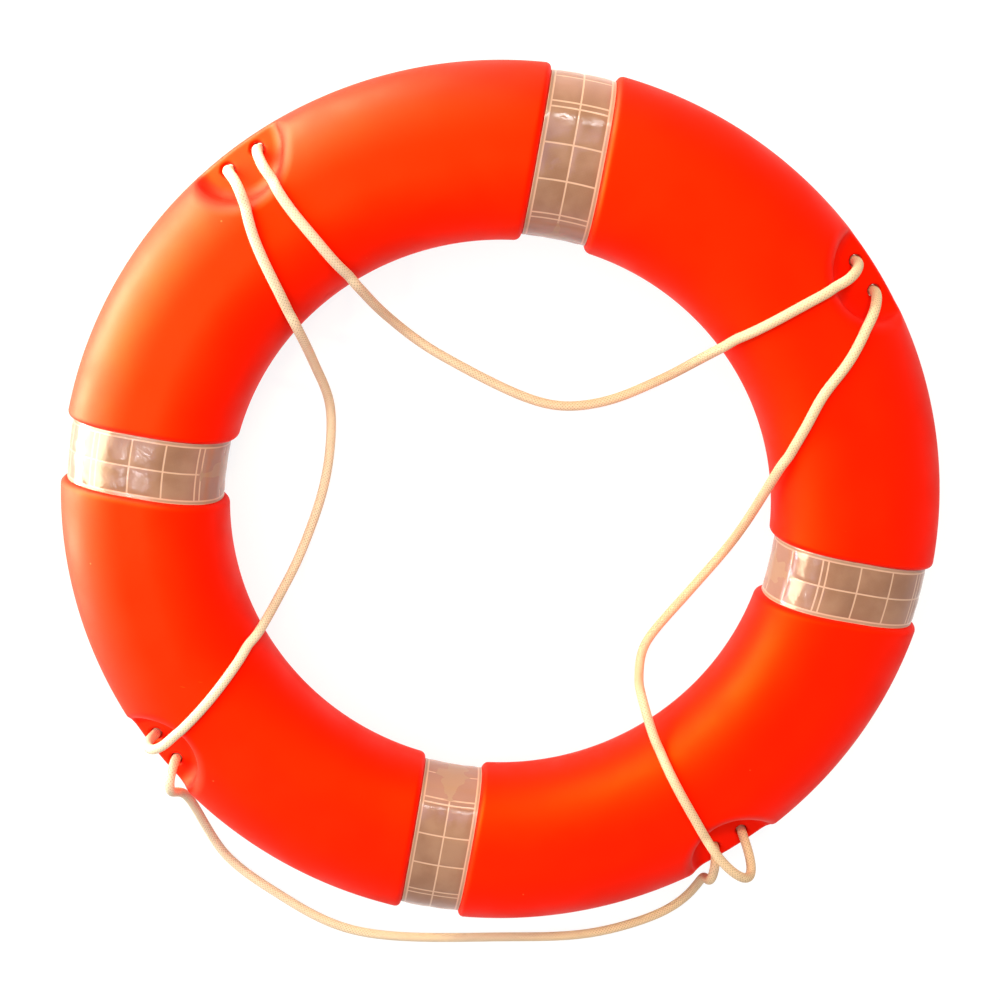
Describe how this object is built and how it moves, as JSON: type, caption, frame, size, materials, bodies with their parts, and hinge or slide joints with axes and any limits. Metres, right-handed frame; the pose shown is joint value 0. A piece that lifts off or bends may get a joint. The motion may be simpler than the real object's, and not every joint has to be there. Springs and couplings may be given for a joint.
{
  "type": "life ring",
  "caption": "Rigid foam-filled life ring with reflective bands in grooves and a grab line laced through moulded rope eyes.",
  "frame": {"origin": "centre of the ring on its back face, on the surface that it lies on", "axes": "+Z out of the front face along the ring's axis, +Y through the first reflective band, +X through the second"},
  "size_m": [0.7174, 0.7911, 0.1157],
  "materials": {
    "shell_plastic": "orange-red moulded polyethylene, semi-gloss with light scuffs",
    "foam": "rigid polyurethane foam",
    "plug_plastic": "welded polyethylene disc",
    "reflective_tape": "silver retroreflective film in sealed cells",
    "rope": "braided polypropylene with dark flecks"
  },
  "bodies": {
    "root": {"ring_shell": "shell_plastic", "foam_core": "foam", "filler_plug": "plug_plastic", "vent_plug": "plug_plastic", "reflective_tape_1": "reflective_tape", "reflective_tape_2": "reflective_tape", "reflective_tape_3": "reflective_tape", "reflective_tape_4": "reflective_tape", "grab_line": "rope", "grab_line_knot_1": "rope", "grab_line_knot_2": "rope"}
  },
  "joints": []
}
